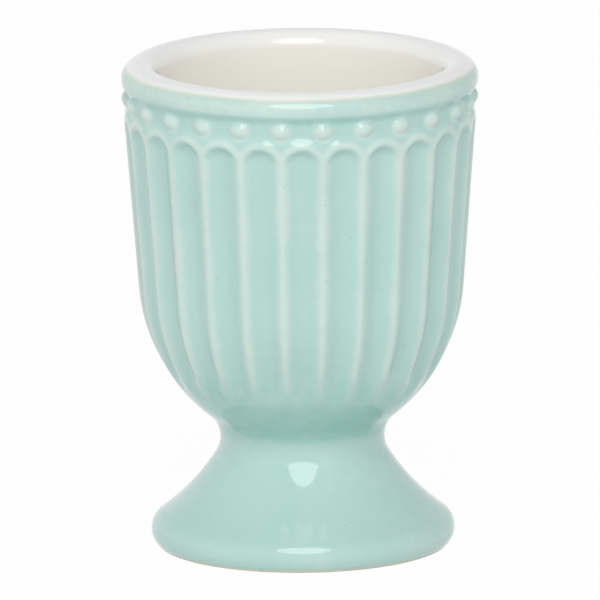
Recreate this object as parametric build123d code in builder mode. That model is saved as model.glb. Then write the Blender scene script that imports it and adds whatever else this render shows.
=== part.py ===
from build123d import *
import os
from math import asin, atan2, cos, degrees, pi, radians, sin, sqrt, tan

# An egg cup in glazed stoneware: a fluted and beaded bowl, luted with slip to a flared foot, and
# lined with white glaze. Lengths are in millimetres and angles in degrees. The origin is the middle
# of the foot's underside, +Z is up, and every profile is drawn as (radius, height).

# Foot
foot_radius = 20.1  # widest point of the rounded foot edge
edge_radius = 2.55  # rounding of the foot edge
flare_radius = 30.0  # hollow sweep of the foot, from its edge towards the neck
ring_inset = 0.9  # from the widest point in to the edge of the bare ring
ring_width = 3.4  # bare ring that stands on the table

# Neck, where the bowl is luted to the foot
neck_radius = 10.9
neck_height = 14.3
neck_low_radius = 4.0  # curve from the neck into the foot
neck_high_radius = 4.25  # curve from the neck into the bowl
dish_radius = 7.5  # shallow dish in the top of the foot, which takes the bowl's boss
dish_depth = 1.5
web_thickness = 3.8  # clay between the dish and the hollow under the foot
slip_thickness = 0.35  # luting slip between the dish and the boss

# Bowl
overall_height = 65.0
mouth_radius = 18.6  # opening for the egg
wall_taper = 4.4
belly_rise = 20.2  # from the neck up to where the belly becomes the straight wall
floor_rise = 7.7  # from the neck up to the floor of the cavity
dome_rise = 16.3  # from the floor of the cavity up to its straight wall
dome_fullness = 0.55  # how full the domes of the cavity floor and the foot's hollow are, from 0 to 1

# Lip
lip_width = 5.0  # from the mouth to the widest point of the rolled lip
lip_overhang = 0.02  # how far the lip stands proud of the wall below
lip_drop = 2.3  # from the top of the lip down to its widest point
roll_radius = 1.9  # rounding of the lip's outer edge, above its widest point
under_radius = 0.9  # rounding below it, down to the bead band
mouth_round = 2.0  # rounding of the lip's inner edge

# Liner glaze
glaze_thickness = 0.4
glaze_margin = 1.05  # strip on top of the lip, from the edge of the white to the outer roll

# Relief: flutes under round arches, and a row of beads in a sunk band
flute_count = 26
ridge_width = 1.25  # raised ridge between two flutes
flute_depth = 0.55
flute_rise = 6.2  # from the neck up to where the flutes have run out
arch_drop = 9.6  # from the top of the lip down to the centre of the arches
arch_band = 1.6  # raised band round each arch
band_depth = 0.85  # how far the bead band lies behind the ridges
bead_drop = 5.0  # from the top of the lip down to the middle of the beads
bead_radius = 1.5
bead_sink = 0.65  # how far the middle of a bead lies behind the band
bead_sides = 8
bead_tiers = (0, 35, 70)  # latitudes of the edges between a bead's facets
facing_angle = -90.0  # the first flute faces the front

# Heights and sizes that follow from these
lip_radius = mouth_radius + lip_width
wall_radius = lip_radius - lip_overhang
lip_height = overall_height - lip_drop
underside_height = lip_height - under_radius
belly_height = neck_height + belly_rise
floor_height = neck_height + floor_rise
bend_height = floor_height + dome_rise
flute_end_height = neck_height + flute_rise
hollow_depth = neck_height - dish_depth - web_thickness
edge_height = sqrt(edge_radius**2 - (edge_radius - ring_inset) ** 2)
arch_height = overall_height - arch_drop
bead_height = overall_height - bead_drop
taper_slope = tan(radians(wall_taper))
wall_up = Vector(sin(radians(wall_taper)), cos(radians(wall_taper)))
wall_out = Vector(cos(radians(wall_taper)), -sin(radians(wall_taper)))
boss_radius = dish_radius - slip_thickness
boss_length = dish_depth - slip_thickness


def wall_at(height):
    """Radius of the wall's ridges at a height."""
    return wall_radius - (underside_height - height) * taper_slope


def circles_meet(center_a, radius_a, center_b, radius_b):
    """Where two circles meet, on the right of the way from the first centre to the second."""
    between = center_b - center_a
    along = (between.length**2 + radius_a**2 - radius_b**2) / (2 * between.length)
    across = sqrt(radius_a**2 - along**2)
    direction = between.normalized()
    return center_a + direction * along + Vector(direction.Y, -direction.X) * across


def toward(start, end):
    """Unit vector from one point to another."""
    return (end - start).normalized()


def arc_about(center, start, end):
    """The short arc about a centre, from one point to another."""
    middle = toward(center, (start + end) * 0.5) * (start - center).length
    ThreePointArc(start, center + middle, end)


# Outline of the foot: a round edge, a long hollow sweep, and a small curve into the neck
edge_center = Vector(foot_radius - edge_radius, edge_height)
neck_low_center = Vector(neck_radius + neck_low_radius, neck_height)
flare_center = circles_meet(
    edge_center, flare_radius + edge_radius, neck_low_center, flare_radius - neck_low_radius
)
ring_outer = Vector(foot_radius - ring_inset, 0)
ring_inner = Vector(ring_outer.X - ring_width, 0)
shoulder = edge_center + toward(edge_center, flare_center) * edge_radius
foot_waist = flare_center + toward(flare_center, neck_low_center) * flare_radius
neck = Vector(neck_radius, neck_height)

# Outline of the bowl: a curve out of the neck, one belly arc, and a straight tapered wall
neck_high_center = Vector(neck_radius + neck_high_radius, neck_height)
belly_top = Vector(wall_at(belly_height), belly_height)
belly_span = belly_top - neck_high_center
belly_radius = (belly_span.length**2 - neck_high_radius**2) / (
    2 * (belly_span.dot(wall_out) + neck_high_radius)
)
belly_center = belly_top - wall_out * belly_radius
bowl_waist = belly_center + toward(belly_center, neck_high_center) * belly_radius
wall_top = Vector(wall_radius, underside_height)

# Outline of the lip: a roll at its outer edge, and a broader arc from there to the crest
crest_radius = mouth_radius + mouth_round * wall_out.X
crest = Vector(crest_radius, overall_height)
lip_side = Vector(lip_radius, lip_height)
roll_center = Vector(lip_radius - roll_radius, lip_height)
under_center = Vector(lip_radius - under_radius, lip_height)
roll_offset = roll_center.X - crest_radius
top_radius = (roll_offset**2 + lip_drop**2 - roll_radius**2) / (2 * (lip_drop - roll_radius))
top_center = Vector(crest_radius, overall_height - top_radius)
roll_top = roll_center + toward(top_center, roll_center) * roll_radius
glaze_angle = degrees(glaze_margin / top_radius)
glaze_direction = toward(top_center, roll_center).rotate(Axis.Z, glaze_angle)

# Outline of the cavity: a rounded mouth, a straight tapered wall and a domed floor
mouth_center = Vector(crest_radius, overall_height - mouth_round)
mouth = mouth_center - wall_out * mouth_round
bend = mouth - wall_up * ((mouth.Y - bend_height) / wall_up.Y)


def draw_dome(side, direction, pole):
    """A round dome from a wall, which it leaves in a direction, to its pole on the axis."""
    rise = abs(pole.Y - side.Y)
    Bezier(side, side + direction * (rise * dome_fullness), pole + Vector(side.X * dome_fullness, 0), pole)


def draw_cavity(cover):
    """Inner wall and floor of the bowl, set back behind the finished surface by a cover."""
    setback = wall_out * cover
    Line(mouth + setback, bend + setback)
    draw_dome(bend + setback, -wall_up, Vector(0, floor_height - cover))


def glaze_line(cover):
    """Point on the top of the lip where the white glaze ends, at a depth under its surface."""
    return top_center + glaze_direction * (top_radius - cover)


def draw_lip_top(cover):
    """Top of the lip, from the edge of the white to the crest."""
    arc_about(top_center, glaze_line(cover), crest - Vector(0, cover))


def draw_mouth(cover):
    """Rounding of the lip's inner edge, at a depth under its surface."""
    arc_about(mouth_center, crest - Vector(0, cover), mouth + wall_out * cover)


def draw_clay_under_glaze():
    """Clay that the white glaze covers."""
    draw_lip_top(glaze_thickness)
    draw_mouth(glaze_thickness)
    draw_cavity(glaze_thickness)


# Foot: a flared shell with a domed hollow below and a shallow dish on top
with BuildPart() as foot:
    with BuildSketch(Plane.XZ) as foot_section:
        with BuildLine():
            arc_about(edge_center, ring_outer, shoulder)
            arc_about(flare_center, shoulder, foot_waist)
            arc_about(neck_low_center, foot_waist, neck)
            Polyline(
                neck,
                (dish_radius, neck_height),
                (dish_radius, neck_height - dish_depth),
                (0, neck_height - dish_depth),
                (0, hollow_depth),
            )
            draw_dome(ring_inner, Vector(0, 1), Vector(0, hollow_depth))
            Line(ring_inner, ring_outer)
        make_face()
    revolve(axis=Axis.Z)

# Luting slip: a thin cup of slip between the dish and the boss
with BuildPart() as luting_slip:
    with BuildSketch(Plane.XZ) as slip_section:
        with BuildLine():
            Polyline(
                (0, neck_height - dish_depth),
                (dish_radius, neck_height - dish_depth),
                (dish_radius, neck_height),
                (boss_radius, neck_height),
                (boss_radius, neck_height - boss_length),
                (0, neck_height - boss_length),
                close=True,
            )
        make_face()
    revolve(axis=Axis.Z)

# Liner glaze: a white coat over the cavity, the mouth and the top of the lip
with BuildPart() as liner_glaze:
    with BuildSketch(Plane.XZ) as liner_section:
        with BuildLine():
            draw_lip_top(0)
            draw_mouth(0)
            draw_cavity(0)
            draw_clay_under_glaze()
            Line(glaze_line(0), glaze_line(glaze_thickness))
            Line((0, floor_height), (0, floor_height - glaze_thickness))
        make_face()
    revolve(axis=Axis.Z)

# Round-ended tool that cuts one flute: up the wall to its arch, and round the belly until it runs out
half_flute = pi * wall_at(arch_height) / flute_count - ridge_width / 2
half_flute_at_belly = pi * belly_top.X / flute_count - ridge_width / 2
tool_radius = 1 / (2 * flute_depth / half_flute**2 - 1 / wall_radius)
depth_at_belly = half_flute_at_belly**2 / 2 * (1 / tool_radius + 1 / belly_top.X)
arch_center = Vector(wall_at(arch_height), arch_height)
stroke_top = arch_center + wall_out * (tool_radius - flute_depth)
stroke_turn = belly_top + wall_out * (tool_radius - depth_at_belly)
stroke_up = toward(stroke_turn, stroke_top)
stroke_in = Vector(-stroke_up.Y, stroke_up.X)
end_rise = flute_end_height - belly_center.Y
end_direction = Vector(sqrt(belly_radius**2 - end_rise**2), end_rise).normalized()
stroke_end = belly_center + end_direction * (belly_radius + tool_radius)
stroke_chord = stroke_end - stroke_turn
turn_radius = stroke_chord.length**2 / (2 * stroke_chord.dot(stroke_in))
turn_center = stroke_turn + stroke_in * turn_radius
turn_angle = 2 * degrees(asin(stroke_chord.length / (2 * turn_radius)))


def in_space(point):
    """A profile point as a point on the XZ plane."""
    return Vector(point.X, 0, point.Y)


with BuildPart() as flute_tool:
    with BuildSketch(Plane(in_space(stroke_turn), x_dir=(0, 1, 0), z_dir=in_space(stroke_up))) as stroke:
        Circle(tool_radius)
    extrude(amount=(stroke_top - stroke_turn).length)
    revolve(stroke.sketch, axis=Axis(in_space(turn_center), (0, 1, 0)), revolution_arc=turn_angle)
    with Locations(in_space(stroke_top)):
        Sphere(tool_radius)

# The sunk band for the beads, tucked in under the lip and bordered below by the arches
arch_radius = half_flute + arch_band
band_reach = lip_radius + band_depth
band_inset = wall_radius - band_depth - under_center.X
band_top = under_center + Vector(band_inset, -sqrt(under_radius**2 - band_inset**2))
band_foot = Vector(wall_at(arch_height) - band_depth, arch_height)
arch_length = 2 * (band_reach - band_foot.X)
with BuildPart() as bead_band:
    with BuildSketch(Plane.XZ) as band_section:
        with BuildLine():
            arc_about(under_center, lip_side, band_top)
            Polyline(
                band_top,
                band_foot,
                (band_reach, arch_height),
                (band_reach, lip_height),
                lip_side,
            )
        make_face()
    revolve(axis=Axis.Z)
    with PolarLocations(wall_radius, flute_count, start_angle=facing_angle):
        with Locations((0, 0, arch_height)):
            Cylinder(arch_radius, arch_length, rotation=(0, 90, 0), mode=Mode.SUBTRACT)

# One bead: a small dome in flat facets, standing out along +X
with BuildPart() as bead:
    for low, high in zip(bead_tiers, bead_tiers[1:]):
        base_height = bead_radius * sin(radians(low))
        base_radius = bead_radius * cos(radians(low))
        rise = bead_radius * sin(radians(high)) - base_height
        run = (base_radius - bead_radius * cos(radians(high))) * cos(pi / bead_sides)
        with BuildSketch(Plane.YZ.offset(base_height)):
            RegularPolygon(base_radius, bead_sides)
        extrude(amount=rise, taper=degrees(atan2(run, rise)))
bead_center_radius = wall_at(bead_height) - band_depth - bead_sink
half_pitch = 180 / flute_count

# Bowl: a turned wall with its boss, then the bead band, the flutes and the beads
with BuildPart() as bowl:
    with BuildSketch(Plane.XZ) as bowl_section:
        with BuildLine():
            arc_about(neck_high_center, neck, bowl_waist)
            arc_about(belly_center, bowl_waist, belly_top)
            Polyline(belly_top, wall_top, lip_side)
            arc_about(roll_center, lip_side, roll_top)
            arc_about(top_center, roll_top, glaze_line(0))
            Line(glaze_line(0), glaze_line(glaze_thickness))
            draw_clay_under_glaze()
            Polyline(
                (0, floor_height - glaze_thickness),
                (0, neck_height - boss_length),
                (boss_radius, neck_height - boss_length),
                (boss_radius, neck_height),
                neck,
            )
        make_face()
    revolve(axis=Axis.Z)
    add(bead_band.part, mode=Mode.SUBTRACT)
    with PolarLocations(0, flute_count, start_angle=facing_angle):
        add(flute_tool.part, mode=Mode.SUBTRACT)
    with PolarLocations(bead_center_radius, flute_count, start_angle=facing_angle + half_pitch):
        with Locations((0, 0, bead_height)):
            add(bead.part)

os.makedirs("parts", exist_ok=True)
foot.part.label = "foot"
export_step(foot.part, "parts/foot.step")
luting_slip.part.label = "luting_slip"
export_step(luting_slip.part, "parts/luting_slip.step")
liner_glaze.part.label = "liner_glaze"
export_step(liner_glaze.part, "parts/liner_glaze.step")
bowl.part.label = "bowl"
export_step(bowl.part, "parts/bowl.step")
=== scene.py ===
import bpy
from math import atan2, cos, hypot, pi, radians, sin, sqrt, tan
from mathutils import Euler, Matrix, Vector


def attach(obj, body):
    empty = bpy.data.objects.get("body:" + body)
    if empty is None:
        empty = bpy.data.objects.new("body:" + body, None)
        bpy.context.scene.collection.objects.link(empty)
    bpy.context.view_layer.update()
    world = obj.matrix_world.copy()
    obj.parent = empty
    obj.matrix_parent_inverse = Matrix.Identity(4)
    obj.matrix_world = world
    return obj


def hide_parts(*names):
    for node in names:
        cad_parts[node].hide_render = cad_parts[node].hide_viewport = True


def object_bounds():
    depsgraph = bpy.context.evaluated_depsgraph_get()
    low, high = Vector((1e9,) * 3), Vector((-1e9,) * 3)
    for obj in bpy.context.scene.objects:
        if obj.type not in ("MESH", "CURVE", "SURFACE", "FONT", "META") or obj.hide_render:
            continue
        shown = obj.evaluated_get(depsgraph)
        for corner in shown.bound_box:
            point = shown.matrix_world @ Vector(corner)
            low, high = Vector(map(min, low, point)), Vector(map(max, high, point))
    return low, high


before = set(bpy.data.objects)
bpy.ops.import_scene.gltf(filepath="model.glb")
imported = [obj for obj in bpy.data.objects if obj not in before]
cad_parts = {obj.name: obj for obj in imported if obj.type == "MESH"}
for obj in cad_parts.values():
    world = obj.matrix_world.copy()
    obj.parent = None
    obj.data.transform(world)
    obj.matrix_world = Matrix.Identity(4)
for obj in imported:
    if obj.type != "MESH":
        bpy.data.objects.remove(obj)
cad_box = [list(corner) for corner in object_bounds()]
scene = bpy.context.scene
scene.view_settings.view_transform = "Standard"

# An egg cup in glazed stoneware. Lengths are in millimetres and turned into metres where vertices
# are placed. Outlines are (radius, height) points, and the cup's front faces -Y.
mm = 0.001

# Foot
foot_radius = 20.1
edge_radius = 2.55  # rounding of the foot edge
flare_radius = 30.0  # hollow sweep of the foot
ring_inset = 0.9  # from the widest point of the foot in to the ring
ring_width = 3.4  # bare ring that stands on the table
hollow_depth = 9.0
dish_radius = 7.5  # dish in the top of the foot, which takes the bowl's boss
dish_depth = 1.5
slip_thickness = 0.35

# Neck and bowl
neck_radius = 10.9
neck_height = 14.3
neck_low_radius = 4.0  # curve from the neck into the foot
neck_high_radius = 4.25  # curve from the neck into the bowl
belly_height = 34.5  # where the belly becomes the straight wall
wall_taper = radians(4.4)
wall_height = 61.8  # where the radius of the wall is given
wall_radius = 23.58  # of the ridges there
floor_height = 22.0
bend_height = 38.3  # where the straight inner wall becomes the domed floor
dome_fullness = 0.55  # of the domed floor and the hollow under the foot

# Lip
overall_height = cad_box[1][2] / mm
lip_radius = 23.6
lip_drop = 2.15  # from the top of the lip down to its widest point
roll_radius = 1.9  # outer rounding of the lip
groove_height = 60.9  # where the bead band starts to swell into the lip
swell_height = 62.25  # where it has reached the width of the lip
mouth_radius = 18.7  # opening for the egg
mouth_round = 2.25
liner_thickness = 0.4
liner_margin = 1.05  # strip on top of the lip, from the edge of the liner to the outer roll

# Flutes and their arched heads
flute_count = 26
ridge_width = 1.25
flute_depth = 0.85
flute_power = 2.0  # a flute is a parabola across
flute_soft = 0.9  # rounding of its edges, as a share of its depth
flute_low = 20.5  # where the flutes have run out into the belly
flute_full = 27.0  # where they have their full depth
arch_height = 55.4  # where the heads begin
head_rise = 1.5  # height over which a head turns steeper than its flute
head_power = 3.5
head_soft = 0.5
arch_band = 1.75  # raised band round each head, to the foot of its outer slope
arch_slope = 1.15  # width of that slope over the crown
arch_ease = 1.4  # share by which it grows wider towards the valleys
slope_soft = 0.25  # rounding at its top and foot, as a share of its width
valley_rise = 1.0  # height over which the valleys between the arches open

# Band of beads between the heads and the lip
band_depth = 0.62  # how far the band lies behind the ridges
bead_height = 60.0
bead_radius = 1.25
bead_stretch = 1.12  # the beads are a little wider than high
bead_sink = 0.72  # how deep the middle of a bead's round lies in the band
bead_soft = 0.42  # rounding where a bead meets the band
bead_fall = 2.0  # slope of a bead's form outside its round
skirt_rise = 0.2  # low swell round each bead
skirt_near = 0.8  # the swell is full this near the middle of the bead
skirt_far = 1.8  # and gone this far from it

# Mint glaze, from 0 where it pools to 1 where it lies thin. The same scale also paints shade under the
# bowl and in the groove under the lip, and paints light on the neck, on the foot's top and on the beads'
# undersides
under_pool_and_shade = 0.28  # under the bowl: pooled glaze partly, painted shade partly
thin_panel = 0.5  # in the flutes
thin_band = 0.45  # round the beads
thin_bead = 0.93
# paler value on the neck: painted light in the shade of the bowl
neck_painted_light = 0.64
thin_lip = 0.75  # on the swell into the lip
thin_roll = 0.76  # on the roll of the lip
thin_foot = 0.5
ridge_gain = 0.5  # how much thinner it lies on the ridges
groove_pool_and_shade = 0.11  # how much darker the groove under the lip is made: pooled glaze partly, painted shade partly
foot_thin_and_light = 0.1  # how much thinner it lies at the foot's edge, and how much painted light lifts the foot's top in the shade of the bowl

# Where the glaze and its painted light and shade change
shade_pool_low = 20.5  # the pool under the bowl, pooled glaze and painted shade, thins out between these heights
shade_pool_high = 29.0
ridge_low = 20.0  # the ridges turn pale between these heights
ridge_high = 26.0
ridge_inside = 1.1  # the pale glaze starts this far inside the edge of a flute
head_inside = 0.4  # and this far inside the edge of a head
ridge_outside = 1.05  # it is full this far outside either
pool_edge = 0.95  # width over which the glaze thickens from an arch band to a pool
cap_light_drop = 0.2  # the pale cap of thin glaze on a bead sits this far below its middle, as painted light on the bead's shaded underside
cap_near = 0.85  # it is full this near its own middle
cap_far = 1.7  # and gone this far from it
groove_rise = 0.5  # from the start of the swell up to the middle of the pooled glaze and painted shade in the groove
groove_near = 0.3  # that darkening is full this near its middle
groove_far = 1.1  # and gone this far from it
lip_glaze_rise = 0.8  # the lip's glaze starts this far above the start of the swell
lip_glaze_drop = 0.2  # and is reached this far below the lip's widest point
neck_light_rise = 2.0  # the painted light on the neck ends this far above it
foot_edge_low = 1.0  # the thin glaze of the foot's edge ends between these heights
foot_edge_high = 6.0
foot_light_low = 7.5  # painted light on its top, in the shade of the bowl, starts between these heights
foot_light_high = 12.0

# Fineness of the meshes, as steps along each stretch
wheel_steps = 320  # round a turned piece
flute_columns = 24  # across one flute
hollow_steps = 24
edge_steps = 26
flare_steps = 40
neck_low_steps = 14
neck_high_steps = 8
belly_steps = 28
wall_steps = 9
relief_low = 50.5  # above this height the steps up the wall are small
relief_steps = 72
roll_steps = 10
margin_steps = 4
liner_top_steps = 10
mouth_steps = 20
inner_wall_steps = 8
dome_steps = 26
buried_stride = 4  # under the liner the bowl takes every fourth point
weld_gap = 0.004  # points closer than this become one
crease_angle = radians(45)  # steeper edges stay sharp

lip_height = overall_height - lip_drop
crest_radius = mouth_radius + mouth_round * cos(wall_taper)
wall_out = Vector((cos(wall_taper), -sin(wall_taper)))
wall_down = Vector((-sin(wall_taper), -cos(wall_taper)))
pitch_angle = 2 * pi / flute_count


def wall_at(height):
    """Radius of the wall's ridges at a height."""
    return wall_radius - (wall_height - height) * tan(wall_taper)


half_pitch = wall_at(arch_height) * pitch_angle / 2
half_flute = half_pitch - ridge_width / 2
arch_radius = half_flute + arch_band


def blend(start, end, share):
    """A value part of the way from one to another."""
    return start + (end - start) * share


def smooth_step(low, high, value):
    """Rise from 0 to 1 between two values, level at both ends."""
    share = min(max((value - low) / (high - low), 0.0), 1.0)
    return share * share * (3 - 2 * share)


def soft_max(first, second, fillet):
    """The larger of two values, rounded over where they meet."""
    near = max(fillet - abs(first - second), 0.0) / fillet
    return max(first, second) + near * near * fillet / 4


def angle_of(way):
    """Direction of a (radius, height) vector."""
    return atan2(way.y, way.x)


def arc(centre, radius, start, end, steps):
    """Points on an arc from one direction to another."""
    points = []
    for step in range(steps + 1):
        turn = start + (end - start) * step / steps
        points.append(centre + Vector((cos(turn), sin(turn))) * radius)
    return points


def bezier(start, lead, pull, end, steps):
    """Points on a cubic curve."""
    points = []
    for step in range(steps + 1):
        share = step / steps
        rest = 1 - share
        between = lead * 3 * rest * rest * share + pull * 3 * rest * share * share
        points.append(start * rest**3 + between + end * share**3)
    return points


def straight(start, end, steps):
    """Points on a straight line."""
    return [start.lerp(end, step / steps) for step in range(steps + 1)]


def set_back(points, depth):
    """An outline moved sideways into the clay that it covers."""
    moved = []
    last = len(points) - 1
    for place, point in enumerate(points):
        along = (points[min(place + 1, last)] - points[max(place - 1, 0)]).normalized()
        moved.append(point + Vector((-along.y, along.x)) * depth)
    return moved


def circles_meet(centre_a, radius_a, centre_b, radius_b):
    """Where two circles meet, on the right of the way from the first centre to the second."""
    between = centre_b - centre_a
    along = (between.length**2 + radius_a**2 - radius_b**2) / (2 * between.length)
    across = sqrt(radius_a**2 - along**2)
    direction = between.normalized()
    return centre_a + direction * along + Vector((direction.y, -direction.x)) * across


# Centres of the arcs in the outlines
edge_height = sqrt(edge_radius**2 - (edge_radius - ring_inset) ** 2)
edge_centre = Vector((foot_radius - edge_radius, edge_height))
neck_low_centre = Vector((neck_radius + neck_low_radius, neck_height))
flare_centre = circles_meet(
    edge_centre, flare_radius + edge_radius, neck_low_centre, flare_radius - neck_low_radius
)
neck_high_centre = Vector((neck_radius + neck_high_radius, neck_height))
belly_top = Vector((wall_at(belly_height), belly_height))
belly_span = belly_top - neck_high_centre
belly_radius = (belly_span.length_squared - neck_high_radius**2) / (
    2 * (belly_span.dot(wall_out) + neck_high_radius)
)
belly_centre = belly_top - wall_out * belly_radius
roll_centre = Vector((lip_radius - roll_radius, lip_height))
roll_offset = roll_centre.x - crest_radius
top_radius = (roll_offset**2 + lip_drop**2 - roll_radius**2) / (2 * (lip_drop - roll_radius))
top_centre = Vector((crest_radius, overall_height - top_radius))
roll_start = angle_of(roll_centre - top_centre)
liner_end = roll_start + liner_margin / top_radius
mouth_centre = Vector((crest_radius, overall_height - mouth_round))


def inside_outline():
    """The cup's inside, from the crest of the lip down to the middle of the floor."""
    mouth = arc(mouth_centre, mouth_round, pi / 2, pi - wall_taper, mouth_steps)
    throat = mouth[-1]
    bend = throat + wall_down * ((throat.y - bend_height) / cos(wall_taper))
    floor = Vector((0.0, floor_height))
    dome_pull = (bend_height - floor_height) * dome_fullness
    dome_lead = Vector((bend.x * dome_fullness, 0.0))
    dome = bezier(bend, bend + wall_down * dome_pull, floor + dome_lead, floor, dome_steps)
    return mouth + straight(throat, bend, inner_wall_steps)[1:] + dome[1:]


def liner_outline():
    """The surface of the white liner, from its edge on the lip to the middle of the floor."""
    top = arc(top_centre, top_radius, liner_end, pi / 2, liner_top_steps)
    return top + inside_outline()[1:]


def liner_back():
    """The side of the liner that lies on the clay, from its edge to the middle of the floor."""
    points = set_back(liner_outline(), liner_thickness)
    points[-1] = Vector((0.0, floor_height - liner_thickness))
    return points


def start_edit(piece):
    """Open one piece in edit mode, with all of it selected."""
    bpy.ops.object.select_all(action="DESELECT")
    piece.select_set(True)
    bpy.context.view_layer.objects.active = piece
    bpy.ops.object.mode_set(mode="EDIT")
    bpy.ops.mesh.select_all(action="SELECT")


def close_mesh(piece):
    """Weld the seams, point the faces outwards and smooth the shading."""
    start_edit(piece)
    bpy.ops.mesh.remove_doubles(threshold=weld_gap * mm)
    bpy.ops.mesh.normals_make_consistent(inside=False)
    bpy.ops.object.mode_set(mode="OBJECT")
    bpy.ops.object.shade_smooth_by_angle(angle=crease_angle)


def turn_on_wheel(name, outline):
    """Draw an outline as a wire and spin it about the axis of the cup."""
    bpy.ops.object.select_all(action="DESELECT")
    bpy.ops.mesh.primitive_plane_add(size=mm)
    piece = bpy.context.object
    piece.name = name
    bpy.ops.object.mode_set(mode="EDIT")
    bpy.ops.mesh.merge(type="CENTER")
    here = Vector((outline[0].x, 0.0, outline[0].y)) * mm
    bpy.ops.transform.translate(value=here)
    for point in outline[1:]:
        there = Vector((point.x, 0.0, point.y)) * mm
        bpy.ops.mesh.extrude_vertices_move(TRANSFORM_OT_translate={"value": there - here})
        here = there
    bpy.ops.mesh.select_all(action="SELECT")
    bpy.ops.mesh.spin(steps=wheel_steps, angle=2 * pi, center=(0, 0, 0), axis=(0, 0, 1))
    bpy.ops.object.mode_set(mode="OBJECT")
    close_mesh(piece)
    return piece


def lay_glaze_and_light(piece, glaze_light_and_shade):
    """Keep how thin the glaze lies at each point of a piece, with the painted light and shade carried on
    the same scale.
    """
    layer = piece.data.attributes.new("glaze_and_painted_light", "FLOAT", "POINT")
    layer.data.foreach_set("value", glaze_light_and_shade)


def foot_glaze_and_light(height):
    """How thin the glaze lies on the foot, with painted light on its top in the shade of the bowl."""
    near_edge = 1 - smooth_step(foot_edge_low, foot_edge_high, height)
    # painted light on the top of the foot, where the bowl shades it
    top_light = smooth_step(foot_light_low, foot_light_high, height)
    return thin_foot + foot_thin_and_light * near_edge + foot_thin_and_light * top_light


def shape_foot():
    """Flared foot with a bare ring, a hollow underside and a dish on top."""
    ring_outer = Vector((foot_radius - ring_inset, 0.0))
    ring_inner = Vector((ring_outer.x - ring_width, 0.0))
    hollow_top = Vector((0.0, hollow_depth))
    hollow_lead = hollow_top + Vector((ring_inner.x * dome_fullness, 0.0))
    hollow_pull = ring_inner + Vector((0.0, hollow_depth * dome_fullness))
    hollow = bezier(hollow_top, hollow_lead, hollow_pull, ring_inner, hollow_steps)
    shoulder = angle_of(flare_centre - edge_centre)
    waist = angle_of(flare_centre - neck_low_centre)
    edge = arc(edge_centre, edge_radius, angle_of(ring_outer - edge_centre), shoulder, edge_steps)
    flare = arc(flare_centre, flare_radius, shoulder - pi, waist - pi, flare_steps)
    low_curve = arc(neck_low_centre, neck_low_radius, waist + pi, pi, neck_low_steps)
    dish_height = neck_height - dish_depth
    dish = [
        Vector((dish_radius, neck_height)),
        Vector((dish_radius, dish_height)),
        Vector((0.0, dish_height)),
    ]
    foot = turn_on_wheel("glazed_foot", hollow + edge + flare[1:] + low_curve[1:] + dish)
    lay_glaze_and_light(foot, [foot_glaze_and_light(vertex.co.z / mm) for vertex in foot.data.vertices])
    return foot


def shape_liner():
    """White liner over the top of the lip and down the inside, with its own thickness."""
    seen = liner_outline()
    return turn_on_wheel("white_liner", seen + liner_back()[::-1] + seen[:1])


def bowl_outline():
    """Outline of the bowl with outward directions, and whether each point takes the relief."""
    boss_radius = dish_radius - slip_thickness
    boss_height = neck_height - dish_depth + slip_thickness
    boss = [
        Vector((0.0, boss_height)),
        Vector((boss_radius, boss_height)),
        Vector((boss_radius, neck_height)),
    ]
    rows = [(point, Vector((1.0, 0.0)), False) for point in boss]
    waist = angle_of(neck_high_centre - belly_centre)
    for point in arc(neck_high_centre, neck_high_radius, pi, waist + pi, neck_high_steps):
        rows.append((point, (neck_high_centre - point).normalized(), False))
    for point in arc(belly_centre, belly_radius, waist, -wall_taper, belly_steps)[1:]:
        rows.append((point, (point - belly_centre).normalized(), True))
    relief_foot = Vector((wall_at(relief_low), relief_low))
    roll_foot = roll_centre + wall_out * roll_radius
    wall_top = Vector((wall_at(roll_foot.y), roll_foot.y))
    for point in straight(belly_top, relief_foot, wall_steps)[1:]:
        rows.append((point, wall_out, True))
    for point in straight(relief_foot, wall_top, relief_steps)[1:]:
        rows.append((point, wall_out, True))
    for point in arc(roll_centre, roll_radius, -wall_taper, roll_start, roll_steps)[1:]:
        rows.append((point, (point - roll_centre).normalized(), False))
    for point in arc(top_centre, top_radius, roll_start, liner_end, margin_steps)[1:]:
        rows.append((point, (point - top_centre).normalized(), False))
    buried = liner_back()
    for point in buried[:-1:buried_stride] + buried[-1:]:
        rows.append((point, Vector((1.0, 0.0)), False))
    return rows


def past_arch(height):
    """Distance up the wall from where the heads begin."""
    return max(height - arch_height, 0.0) / cos(wall_taper)


def flute_cut(from_middle, height, head):
    """Depth of a flute or its head, which is 0 on the ridges."""
    power = blend(flute_power, head_power, head)
    hollow = soft_max(1 - (from_middle / half_flute) ** power, 0.0, blend(flute_soft, head_soft, head))
    return flute_depth * hollow * smooth_step(flute_low, flute_full, height)


def flute_glaze_and_shade(from_middle, height, head):
    """How thin the glaze lies on the flutes and ridges, with painted shade low down under the bowl."""
    pale_start = half_flute - blend(ridge_inside, head_inside, head)
    ridge = smooth_step(pale_start, half_flute + ridge_outside, from_middle)
    ridge *= smooth_step(ridge_low, ridge_high, height)
    # painted shade under the bowl, mixed with pooled glaze, fades out going up
    above_shade_pool = smooth_step(shade_pool_low, shade_pool_high, height)
    return blend(under_pool_and_shade, thin_panel, above_shade_pool) + ridge_gain * ridge


def slope_off(from_middle, width):
    """How far the outer slope of an arch has come down, from 0 on its band to 1 on the bead band."""
    fall = (from_middle - arch_radius + arch_slope) / width
    return 1 - soft_max(1 - soft_max(fall, 0.0, slope_soft), 0.0, slope_soft)


def beside_arch(across, height):
    """How far the form has come down beside one arch, and how far its glaze has thickened."""
    from_middle = hypot(across, past_arch(height))
    width = arch_slope * (1 + arch_ease * (across / from_middle) ** 2)
    return slope_off(from_middle, width), slope_off(from_middle, pool_edge)


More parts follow.
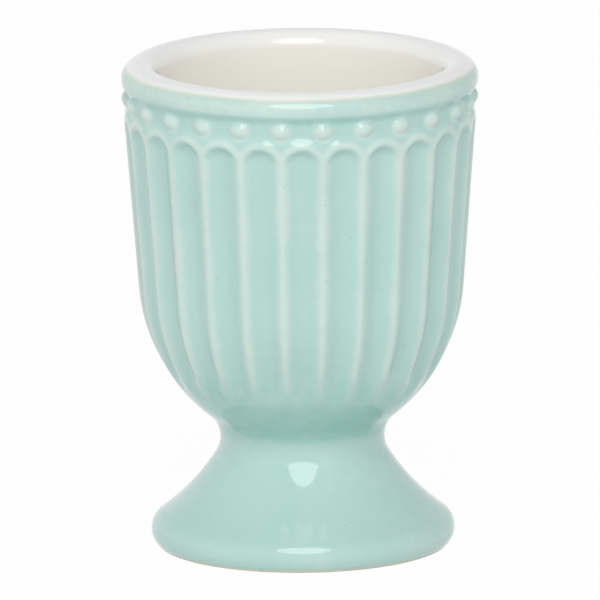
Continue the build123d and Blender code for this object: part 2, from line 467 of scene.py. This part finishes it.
def carve_beads(aside, height, surface, ground):
    """Raise a bead with its skirt from the band."""
    from_bead = hypot(aside, (height - bead_height) / cos(wall_taper))
    dome = sqrt(max(bead_radius**2 - from_bead**2, 0.0)) - bead_fall * max(from_bead - bead_radius, 0.0)
    surface += skirt_rise * (1 - smooth_step(skirt_near, skirt_far, from_bead)) * ground
    return soft_max(surface, dome - bead_sink - band_depth + skirt_rise, bead_soft)


def band_glaze_light_and_shade(aside, height, glaze_light_and_shade, pool):
    """How thin the glaze lies round the beads, on them and up to the lip, with painted shade in the groove
    under the lip and painted light on the beads' undersides.
    """
    # the pale cap is lowered as painted light on the bead's shaded underside
    from_cap = hypot(aside, (height - bead_height + cap_light_drop) / cos(wall_taper))
    cap = blend(thin_bead, thin_band, smooth_step(cap_near, cap_far, from_cap))
    # painted shade in the groove under the lip, together with pooled glaze
    from_groove = abs(height - groove_height - groove_rise)
    in_groove = 1 - smooth_step(groove_near, groove_far, from_groove)
    glaze_light_and_shade = max(blend(glaze_light_and_shade, thin_band, pool), cap) - groove_pool_and_shade * in_groove
    on_lip = smooth_step(groove_height + lip_glaze_rise, lip_height - lip_glaze_drop, height)
    return blend(glaze_light_and_shade, thin_lip, on_lip)


def carve(across, height):
    """How far the surface lies from the ridges, and how thin the glaze lies on it, painted light and shade
    included.
    """
    from_middle = hypot(across, past_arch(height))
    head = smooth_step(arch_height, arch_height + head_rise, height)
    surface = -flute_cut(from_middle, height, head)
    glaze_light_and_shade = flute_glaze_and_shade(from_middle, height, head)
    if height > arch_height:
        own_ground, own_pool = beside_arch(across, height)
        next_ground, next_pool = beside_arch(2 * half_pitch - abs(across), height)
        above = smooth_step(arch_height, arch_height + valley_rise, height)
        ground = own_ground * next_ground * above
        swell = smooth_step(groove_height, swell_height, height)
        lip_back = wall_at(lip_height) - lip_radius
        surface -= band_depth * ground * (1 - swell) + lip_back * swell
        aside = (half_pitch - abs(across)) / bead_stretch
        surface = carve_beads(aside, height, surface, ground)
        glaze_light_and_shade = band_glaze_light_and_shade(aside, height, glaze_light_and_shade, own_pool * next_pool * above)
    return surface, glaze_light_and_shade


def plain_glaze_light_and_shade(height):
    """How thin the glaze lies on the neck and the lip, which have no relief, with painted light on the
    neck and painted shade under the bowl.
    """
    # painted light on the neck, under the bowl
    near_neck = 1 - smooth_step(neck_height, neck_height + neck_light_rise, height)
    near_lip = smooth_step(belly_height, lip_height, height)
    return blend(blend(under_pool_and_shade, neck_painted_light, near_neck), thin_roll, near_lip)


def shape_bowl():
    """Bowl with flutes, arches and beads: one flute is shaped and then copied round the axis."""
    rows = bowl_outline()
    last_row = len(rows) - 1
    bpy.ops.object.select_all(action="DESELECT")
    bpy.ops.mesh.primitive_grid_add(x_subdivisions=flute_columns, y_subdivisions=last_row, size=1.0)
    bowl = bpy.context.object
    bowl.name = "fluted_bowl"
    glaze_light_and_shade = []
    # The grid reaches from -0.5 to 0.5, along X across one flute and along Y up the rows
    for vertex in bowl.data.vertices:
        share = vertex.co.x
        point, way, carved = rows[round((vertex.co.y + 0.5) * last_row)]
        thin = plain_glaze_light_and_shade(point.y)
        if carved:
            surface, thin = carve(share * 2 * half_pitch, point.y)
            point = point + way * surface
        turn = share * pitch_angle
        vertex.co = Vector((point.x * sin(turn), -point.x * cos(turn), point.y)) * mm
        glaze_light_and_shade.append(thin)
    lay_glaze_and_light(bowl, glaze_light_and_shade)
    start_edit(bowl)
    copies = flute_count - 1
    bpy.ops.mesh.spin(
        steps=copies, dupli=True, angle=copies * pitch_angle, center=(0, 0, 0), axis=(0, 0, 1)
    )
    bpy.ops.object.mode_set(mode="OBJECT")
    close_mesh(bowl)
    return bowl


def srgb(red, green, blue):
    """A colour as it shows on a screen, from 0 to 255, as the shader wants it."""
    channels = []
    for shown in (red, green, blue):
        level = shown / 255
        channels.append(level / 12.92 if level < 0.04045 else ((level + 0.055) / 1.055) ** 2.4)
    return (*channels, 1.0)


# Colours
# the deep mint stands for pooled glaze and painted shade, the pale mint for thin glaze and painted light
mint_pool_and_shade = srgb(138, 198, 187)
mint_panel = srgb(180, 214, 207)
mint_thin_and_light = srgb(205, 225, 217)
white_rim = srgb(245, 247, 246)
white_inside = srgb(246, 244, 236)
cream_edge = srgb(228, 225, 206)
bare_clay = srgb(226, 219, 203)
slip_buff = srgb(196, 178, 150)
speck_brown = srgb(104, 104, 84)

# Finish, with noise scales in turns per metre
noise_low = 0.3  # most of the noise lies between these levels
noise_high = 0.7
drift_scale = 90.0  # slow drifts in how thin the glaze lies
drift_amount = 0.08
mottle_scale = 700.0
mottle_amount = 0.04
white_radius = 22.95  # where the white fades into the mint
white_wander = 0.08
wander_scale = 60.0
white_outside = 0.22  # the white ends this far outside that radius
white_inset = 0.3  # and is full this far inside it
lip_white_low = 0.2  # on the outer roll the white starts this far below the widest point
lip_white_high = 0.3  # and may be full this far above it
warm_depth = 2.6  # the white has turned warm this far below the top
cream_width = 0.4  # creamy edge to either side of where the white ends
cream_strength = 0.35
speck_scale = 450.0
speck_gaps = 0.3  # share of the possible specks that are left out
speck_rim = 0.065  # a speck ends this far from its middle, in shares of its cell
speck_core = 0.02
speck_on_mint = 0.4
speck_on_white = 0.15
bare_full = 0.15  # the clay of the ring is bare up to this height
bare_end = 0.4
glaze_roughness = 0.06
clay_roughness = 0.75
slip_roughness = 0.8
grain_scale = 2500.0
grain_detail = 4.0


def feed(tree, socket, value):
    """Set a socket, or link another node's output to it."""
    if isinstance(value, bpy.types.NodeSocket):
        tree.links.new(value, socket)
    else:
        socket.default_value = value


def calc(tree, operation, first, second=0.0):
    """One Math node."""
    made = tree.nodes.new("ShaderNodeMath")
    made.operation = operation
    feed(tree, made.inputs[0], first)
    feed(tree, made.inputs[1], second)
    return made.outputs[0]


def fade(tree, value, low, high, start=0.0, end=1.0):
    """A value mapped smoothly from one range to another."""
    made = tree.nodes.new("ShaderNodeMapRange")
    made.interpolation_type = "SMOOTHSTEP"
    feed(tree, made.inputs["Value"], value)
    feed(tree, made.inputs["From Min"], low)
    feed(tree, made.inputs["From Max"], high)
    feed(tree, made.inputs["To Min"], start)
    feed(tree, made.inputs["To Max"], end)
    return made.outputs["Result"]


def paint(tree, amount, under, over):
    """One colour laid over another."""
    made = tree.nodes.new("ShaderNodeMix")
    made.data_type = "RGBA"
    feed(tree, made.inputs["Factor"], amount)
    feed(tree, made.inputs[6], under)
    feed(tree, made.inputs[7], over)
    return made.outputs[2]


def cloud(tree, place, scale, detail=2.0):
    """Soft noise."""
    made = tree.nodes.new("ShaderNodeTexNoise")
    made.inputs["Scale"].default_value = scale
    made.inputs["Detail"].default_value = detail
    tree.links.new(place, made.inputs["Vector"])
    return made.outputs["Fac"]


def wander(tree, place, scale, middle, amount):
    """A value that drifts to either side of a middle one."""
    noise = cloud(tree, place, scale)
    return fade(tree, noise, noise_low, noise_high, middle - amount, middle + amount)


def axes_of(tree, place):
    """The three coordinates of a place."""
    split = tree.nodes.new("ShaderNodeSeparateXYZ")
    tree.links.new(place, split.inputs[0])
    return split.outputs


def new_material(name):
    """A plain material, with its tree and its shader."""
    material = bpy.data.materials.new(name)
    material.use_nodes = True
    tree = material.node_tree
    return material, tree, tree.nodes["Principled BSDF"]


def place_on(tree):
    """The place on a piece."""
    return tree.nodes.new("ShaderNodeTexCoord").outputs["Object"]


def mint_colour(tree, place):
    """Mint glaze, deep where it pools and where shade is painted, pale where it lies thin and where light
    is painted.
    """
    thin = tree.nodes.new("ShaderNodeAttribute")
    thin.attribute_name = "glaze_and_painted_light"
    drift = wander(tree, place, drift_scale, 0.0, drift_amount)
    mottle = wander(tree, place, mottle_scale, 0.0, mottle_amount)
    glaze_light_and_shade = calc(tree, "ADD", calc(tree, "ADD", thin.outputs["Fac"], drift), mottle)
    mint = paint(tree, fade(tree, glaze_light_and_shade, 0.0, 0.5), mint_pool_and_shade, mint_panel)
    return paint(tree, fade(tree, glaze_light_and_shade, 0.5, 1.0), mint, mint_thin_and_light)


def white_colour(tree, height):
    """White glaze, a little warmer inside the cup than on top of the lip."""
    warmth = fade(tree, height, overall_height * mm, (overall_height - warm_depth) * mm)
    return paint(tree, warmth, white_rim, white_inside)


def white_reach(tree, place):
    """Where the white covers the lip, and where its creamy edge lies."""
    across, depth, height = axes_of(tree, place)
    square = calc(tree, "ADD", calc(tree, "POWER", across, 2.0), calc(tree, "POWER", depth, 2.0))
    edge = wander(tree, place, wander_scale, white_radius * mm, white_wander * mm)
    over_edge = calc(tree, "SUBTRACT", calc(tree, "SQRT", square), edge)
    white = fade(tree, over_edge, white_outside * mm, -white_inset * mm)
    cream = fade(tree, calc(tree, "ABSOLUTE", over_edge), cream_width * mm, 0.0)
    on_lip = fade(tree, height, (lip_height - lip_white_low) * mm, (lip_height + lip_white_high) * mm)
    return calc(tree, "MULTIPLY", white, on_lip), calc(tree, "MULTIPLY", cream, on_lip)


def add_specks(tree, place, colour, strength):
    """Small iron specks in a glaze."""
    spots = tree.nodes.new("ShaderNodeTexVoronoi")
    spots.inputs["Scale"].default_value = speck_scale
    tree.links.new(place, spots.inputs["Vector"])
    pick = tree.nodes.new("ShaderNodeSeparateColor")
    tree.links.new(spots.outputs["Color"], pick.inputs[0])
    chosen = calc(tree, "GREATER_THAN", pick.outputs[0], speck_gaps)
    dot = calc(tree, "MULTIPLY", chosen, fade(tree, spots.outputs["Distance"], speck_rim, speck_core))
    return paint(tree, calc(tree, "MULTIPLY", dot, strength), colour, speck_brown)


def mint_material():
    """Glossy mint glaze, white on top of the lip, with bare clay under the foot."""
    material, tree, shader = new_material("mint_glaze")
    place = place_on(tree)
    height = axes_of(tree, place)["Z"]
    white, cream = white_reach(tree, place)
    colour = paint(tree, white, mint_colour(tree, place), white_colour(tree, height))
    colour = paint(tree, calc(tree, "MULTIPLY", cream, cream_strength), colour, cream_edge)
    speck_strength = fade(tree, white, 0.0, 1.0, speck_on_mint, speck_on_white)
    colour = add_specks(tree, place, colour, speck_strength)
    bare = fade(tree, height, bare_end * mm, bare_full * mm)
    roughness = fade(tree, bare, 0.0, 1.0, glaze_roughness, clay_roughness)
    tree.links.new(paint(tree, bare, colour, bare_clay), shader.inputs["Base Color"])
    tree.links.new(roughness, shader.inputs["Roughness"])
    return material


def white_material():
    """Glossy white glaze of the liner."""
    material, tree, shader = new_material("white_glaze")
    place = place_on(tree)
    colour = white_colour(tree, axes_of(tree, place)["Z"])
    colour = add_specks(tree, place, colour, speck_on_white)
    tree.links.new(colour, shader.inputs["Base Color"])
    shader.inputs["Roughness"].default_value = glaze_roughness
    return material


def slip_material():
    """Fired slip: matt, buff and slightly grainy."""
    material, tree, shader = new_material("fired_slip")
    grain = cloud(tree, place_on(tree), grain_scale, grain_detail)
    tree.links.new(paint(tree, grain, slip_buff, bare_clay), shader.inputs["Base Color"])
    shader.inputs["Roughness"].default_value = slip_roughness
    return material


def dress(piece, node, material):
    """Let a piece stand for a solid of the frame, with its finish."""
    piece.data.materials.clear()
    piece.data.materials.append(material)
    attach(piece, "root")
    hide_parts(node)


mint_glaze = mint_material()
dress(shape_foot(), "foot", mint_glaze)
dress(shape_bowl(), "bowl", mint_glaze)
dress(shape_liner(), "liner_glaze", white_material())
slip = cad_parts["luting_slip"]
slip.data.materials.clear()
slip.data.materials.append(slip_material())

# Floor, light tent and softbox, with distances in metres
floor_size = 8.0
floor_white = (0.85, 0.85, 0.85, 1.0)
floor_glow = 0.97  # how much of the floor's look is plain white
tent_horizon = 0.93
tent_zenith = 0.36
tent_left_bias = 0.13
softbox_lift = radians(40.5)
softbox_distance = 1.2
softbox_width = 0.78
softbox_height = 0.86
softbox_watts = 6.3

# Camera, fitted to the photograph's frame of 600 by 600 pixels
frame_width = 600
scale_at_cup = 7.56  # pixels for each millimetre
camera_distance = 3.0
camera_lift = radians(12.334)
camera_turn = radians(0.6)  # the camera stands a little to the left
camera_roll = radians(0.44)  # the cup leans a little to the left in the picture
axis_offset = 0.185 * mm  # the axis of the cup stands a little right of the middle
target_height = 32.599 * mm
sensor_width = 36.0


def aim(thing, target):
    """Turn a camera or a lamp towards a point."""
    thing.rotation_euler = (Vector(target) - thing.location).to_track_quat("-Z", "Y").to_euler()


def lay_floor():
    """White floor, which shows as plain white with only a trace of shadow."""
    bpy.ops.object.select_all(action="DESELECT")
    bpy.ops.mesh.primitive_plane_add(size=floor_size)
    floor = bpy.context.object
    floor.name = "floor"
    material, tree, shader = new_material("white_floor")
    shader.inputs["Base Color"].default_value = floor_white
    shader.inputs["Roughness"].default_value = 1.0
    glow = tree.nodes.new("ShaderNodeEmission")
    rays = tree.nodes.new("ShaderNodeLightPath")
    seen = calc(tree, "MAXIMUM", rays.outputs["Is Camera Ray"], rays.outputs["Is Transmission Ray"])
    seen = calc(tree, "MAXIMUM", seen, rays.outputs["Is Glossy Ray"])
    mix = tree.nodes.new("ShaderNodeMixShader")
    tree.links.new(calc(tree, "MULTIPLY", seen, floor_glow), mix.inputs[0])
    tree.links.new(shader.outputs[0], mix.inputs[1])
    tree.links.new(glow.outputs[0], mix.inputs[2])
    tree.links.new(mix.outputs[0], tree.nodes["Material Output"].inputs["Surface"])
    floor.data.materials.append(material)


def hang_softbox():
    """An oval softbox in front of the cup and above it."""
    place = Vector((0.0, -cos(softbox_lift), sin(softbox_lift))) * softbox_distance
    bpy.ops.object.light_add(type="AREA", location=place)
    lamp = bpy.context.object
    lamp.name = "front_softbox"
    lamp.data.shape = "ELLIPSE"
    lamp.data.size = softbox_width
    lamp.data.size_y = softbox_height
    lamp.data.energy = softbox_watts
    aim(lamp, (0.0, 0.0, target_height))


def light_world():
    """White surroundings like a light tent, brightest at the horizon and a little brighter on the left."""
    world = bpy.data.worlds.new("light_tent")
    world.use_nodes = True
    tree = world.node_tree
    axes = axes_of(tree, tree.nodes.new("ShaderNodeTexCoord").outputs["Generated"])
    rise = fade(tree, axes["Z"], 0.0, 1.0, tent_horizon, tent_zenith)
    side = fade(tree, axes["X"], -1.0, 1.0, 1 + tent_left_bias, 1 - tent_left_bias)
    backdrop = tree.nodes["Background"]
    backdrop.inputs["Color"].default_value = (1.0, 1.0, 1.0, 1.0)
    tree.links.new(calc(tree, "MULTIPLY", rise, side), backdrop.inputs["Strength"])
    scene.world = world


def place_camera():
    """A long lens, a little above the cup."""
    camera_data = bpy.data.cameras.new("camera")
    camera_data.sensor_width = sensor_width
    camera_data.lens = scale_at_cup / mm * camera_distance / frame_width * sensor_width
    camera = bpy.data.objects.new("camera", camera_data)
    scene.collection.objects.link(camera)
    sight = Vector((-axis_offset, 0.0, target_height))
    back_off = Vector((0.0, -cos(camera_lift), sin(camera_lift))) * camera_distance
    turn_left = Euler((0.0, 0.0, -camera_turn))
    sight.rotate(turn_left)
    back_off.rotate(turn_left)
    camera.location = sight + back_off
    aim(camera, sight)
    camera.rotation_euler.rotate_axis("Z", -camera_roll)
    scene.camera = camera


lay_floor()
light_world()
hang_softbox()
place_camera()
